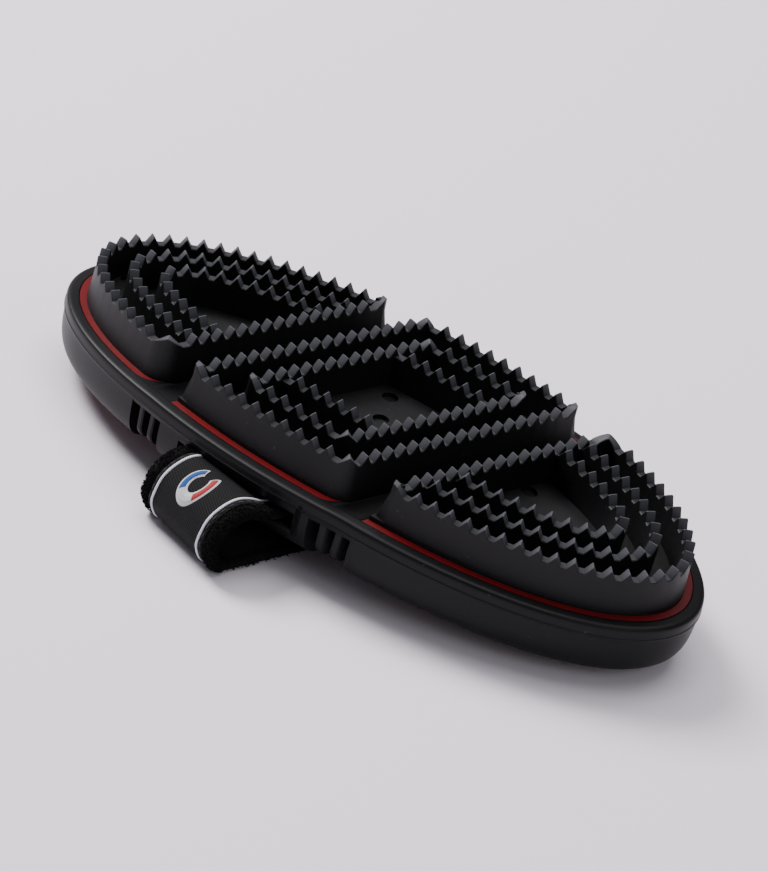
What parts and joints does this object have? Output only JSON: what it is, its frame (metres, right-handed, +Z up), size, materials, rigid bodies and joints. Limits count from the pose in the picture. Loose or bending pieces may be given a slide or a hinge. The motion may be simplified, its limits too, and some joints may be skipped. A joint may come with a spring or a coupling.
{
  "type": "curry comb",
  "caption": "Flexible grooming curry comb: an oval black rubber body over a red core, toothed rubber rings in hinged sections, and a woven hand strap across the back",
  "frame": {"origin": "on the ground under the middle of the hand strap, with the comb lying on its back", "axes": "X along the comb, Y across it from the near side to the far side, Z up through the teeth"},
  "size_m": [0.1933, 0.1268, 0.0344],
  "materials": {
    "black_rubber": "satin moulded",
    "tooth_rubber": "matte moulded",
    "red_core": "smooth moulded",
    "black_plastic": "moulded",
    "pile_webbing": "fuzzy loop pile",
    "woven_ribbon": "twill woven",
    "white_cord": "woven-in cord",
    "embroidery": "satin stitch",
    "soft_lining": "brushed pile",
    "hook_tape": "hook tape"
  },
  "bodies": {
    "centre": {"frame_centre": "black_rubber", "core_centre": "red_core", "back_centre": "red_core", "pad_floor_centre": "tooth_rubber", "teeth_centre_outer": "tooth_rubber", "teeth_centre_inner": "tooth_rubber", "teeth_centre_rib_near": "tooth_rubber", "teeth_centre_rib_far": "tooth_rubber", "strap_end_near": "pile_webbing", "strap_end_far": "pile_webbing", "anchor_bar_near": "black_plastic", "anchor_bar_far": "black_plastic", "flex_web_left": "black_rubber", "flex_web_right": "black_rubber"},
    "left": {"frame_left": "black_rubber", "core_left": "red_core", "back_left": "red_core", "pad_floor_left": "tooth_rubber", "teeth_left_outer": "tooth_rubber", "teeth_left_middle": "tooth_rubber", "teeth_left_inner": "tooth_rubber"},
    "right": {"frame_right": "black_rubber", "core_right": "red_core", "back_right": "red_core", "pad_floor_right": "tooth_rubber", "teeth_right_outer": "tooth_rubber", "teeth_right_middle": "tooth_rubber", "teeth_right_inner": "tooth_rubber"},
    "strap": {"strap_base": "pile_webbing", "strap_ribbon": "woven_ribbon", "edge_cord_left": "white_cord", "edge_cord_right": "white_cord", "strap_motif": "embroidery", "strap_lining": "soft_lining", "hook_tab": "hook_tape"}
  },
  "joints": [
    {"name": "left_flex", "type": "hinge", "parent": "centre", "child": "left", "pos_m": [-0.02826, 0.00897, 0.0215], "axis": [0.3024, 0.9532, 0], "range_deg": [-7, 21], "stiffness_Nm_per_rad": 1.2},
    {"name": "right_flex", "type": "hinge", "parent": "centre", "child": "right", "pos_m": [0.02826, -0.00897, 0.0215], "axis": [-0.3024, -0.9532, 0], "range_deg": [-6, 22], "stiffness_Nm_per_rad": 1.2},
    {"name": "strap_lift", "type": "slide", "parent": "centre", "child": "strap", "axis": [0, 0, 1], "range_m": [-0.022, 0]}
  ]
}
